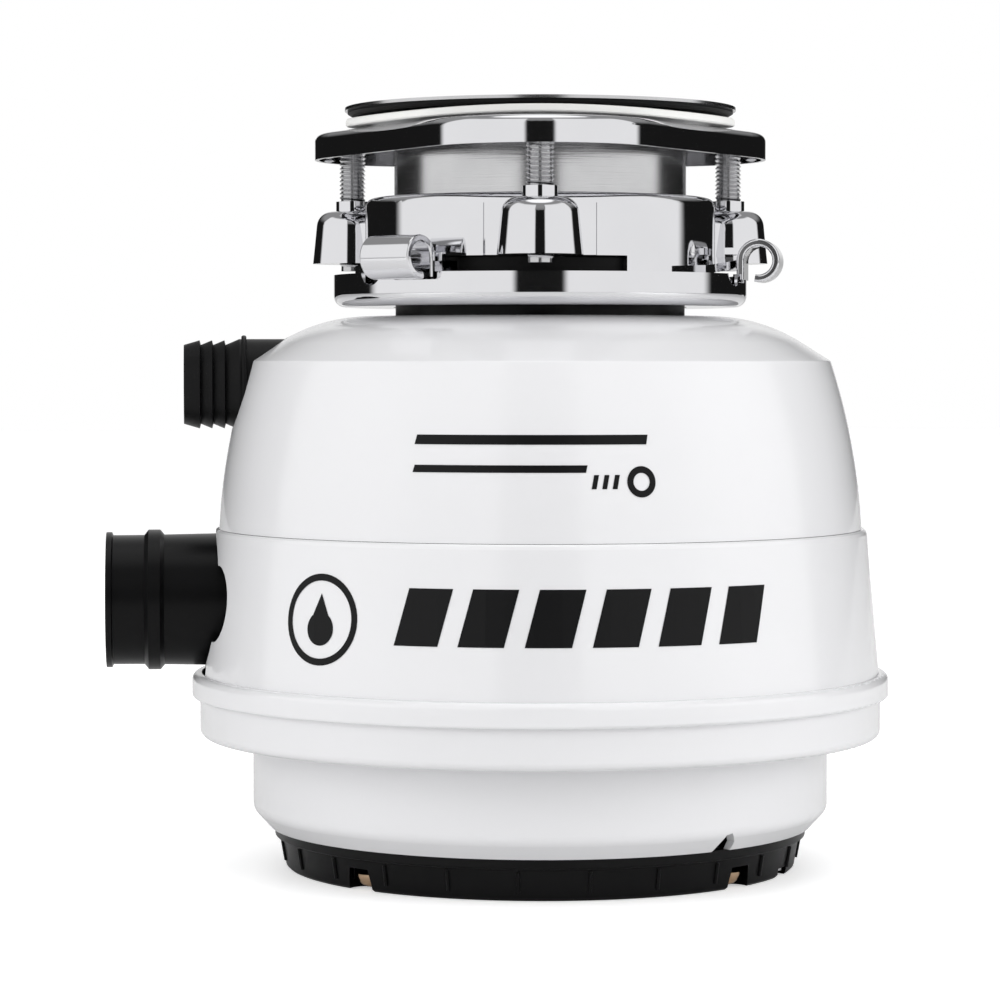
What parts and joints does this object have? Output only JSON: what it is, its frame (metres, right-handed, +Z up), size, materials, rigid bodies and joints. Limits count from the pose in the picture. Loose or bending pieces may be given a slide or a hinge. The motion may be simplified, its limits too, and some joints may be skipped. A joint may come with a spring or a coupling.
{
  "type": "kitchen garbage disposal",
  "caption": "Under-sink food waste disposer: stepped white shell on a black base, side discharge and dishwasher ports, and a bolted sink mount with curled hooks.",
  "frame": {"origin": "centre of the flat underside of the base", "axes": "+Z up the main axis to the sink flange; the discharge tube and dishwasher inlet point along -X; the front faces -Y"},
  "size_m": [0.2289, 0.2042, 0.2215],
  "materials": {
    "white_shell": "gloss",
    "black_plastic": "satin",
    "black_rubber": "matte",
    "chrome": "polished",
    "stainless": "brushed",
    "zinc_steel": "zinc plated",
    "brassy_steel": "yellow zinc plated",
    "white_fibre": "fibre",
    "cast_aluminium": "cast",
    "copper": "enamelled wire",
    "core_steel": "laminated",
    "ferrite": "sintered",
    "carbon": "carbon",
    "red_plastic": "satin",
    "green_board": "circuit board",
    "grey_foam": "foam"
  },
  "bodies": {
    "disposer": {"sink_flange": "stainless", "flange_gasket": "black_rubber", "upper_mounting_ring": "chrome", "snap_ring": "zinc_steel", "mounting_gasket": "black_rubber", "splash_guard": "black_rubber", "hopper": "black_plastic", "dishwasher_inlet": "black_rubber", "grind_ring": "stainless", "lower_chamber": "black_plastic", "chamber_gasket": "black_rubber", "chamber_bolts": "zinc_steel", "discharge_tube": "black_plastic", "discharge_gasket": "black_rubber", "discharge_screws": "zinc_steel", "shaft_seal": "black_rubber", "upper_bearing": "zinc_steel", "lower_bearing": "zinc_steel", "motor_can": "zinc_steel", "magnets": "ferrite", "brush_holders": "brassy_steel", "brushes": "carbon", "brush_springs": "zinc_steel", "end_bell": "cast_aluminium", "tie_bolts": "zinc_steel", "upper_shell": "white_shell", "middle_shell": "white_shell", "lower_shell": "white_shell", "base_cap": "black_plastic", "base_screws": "brassy_steel", "ground_screw": "zinc_steel", "cord_grommet": "black_rubber", "overload_protector": "black_plastic", "reset_spring": "zinc_steel", "rectifier_board": "green_board", "sound_insulation": "grey_foam"},
    "rotor": {"shaft": "zinc_steel", "turntable": "stainless", "turntable_nut": "zinc_steel", "impeller_pins": "stainless", "armature_core": "core_steel", "armature_windings": "copper", "commutator": "copper"},
    "impeller_left": {"impeller_left": "stainless"},
    "impeller_right": {"impeller_right": "stainless"},
    "clamp": {"backup_ring": "chrome", "fibre_gasket": "white_fibre"},
    "screw_front": {"mounting_screw_front": "zinc_steel"},
    "screw_right": {"mounting_screw_right": "zinc_steel"},
    "screw_left": {"mounting_screw_left": "zinc_steel"},
    "hook_ring": {"lower_mounting_ring": "chrome"},
    "button": {"reset_button": "red_plastic"}
  },
  "joints": [
    {"name": "rotor_spin", "type": "hinge", "parent": "disposer", "child": "rotor", "pos_m": [0, 0, 0.05], "axis": [0, 0, 1], "continuous": true},
    {"name": "impeller_left_swivel", "type": "hinge", "parent": "rotor", "child": "impeller_left", "pos_m": [-0.042, 0, 0.103], "axis": [0, 0, 1], "continuous": true},
    {"name": "impeller_right_swivel", "type": "hinge", "parent": "rotor", "child": "impeller_right", "pos_m": [0.042, 0, 0.103], "axis": [0, 0, 1], "continuous": true},
    {"name": "clamp_slide", "type": "slide", "parent": "disposer", "child": "clamp", "axis": [0, 0, -1], "range_m": [0, 0.01]},
    {"name": "screw_front_turn", "type": "hinge", "parent": "clamp", "child": "screw_front", "pos_m": [-0.00629, -0.0653, 0.19], "axis": [0, 0, -1], "range_deg": [0, 2880]},
    {"name": "screw_right_turn", "type": "hinge", "parent": "clamp", "child": "screw_right", "pos_m": [0.05969, 0.0272, 0.19], "axis": [0, 0, -1], "range_deg": [0, 2880]},
    {"name": "screw_left_turn", "type": "hinge", "parent": "clamp", "child": "screw_left", "pos_m": [-0.05341, 0.03809, 0.19], "axis": [0, 0, -1], "range_deg": [0, 2880]},
    {"name": "hook_ring_turn", "type": "hinge", "parent": "disposer", "child": "hook_ring", "pos_m": [0, 0, 0.168], "axis": [0, 0, 1], "range_deg": [-35, 0]},
    {"name": "reset_press", "type": "slide", "parent": "disposer", "child": "button", "axis": [0, 0, 1], "range_m": [0, 0.002], "stiffness_N_per_m": 400, "springref_m": -0.001, "deforming": ["reset_spring"]}
  ],
  "couplings": [
    {"joint": "screw_front_turn", "follows": "clamp_slide", "rad_per_m": 5026.5},
    {"joint": "screw_right_turn", "follows": "clamp_slide", "rad_per_m": 5026.5},
    {"joint": "screw_left_turn", "follows": "clamp_slide", "rad_per_m": 5026.5}
  ]
}
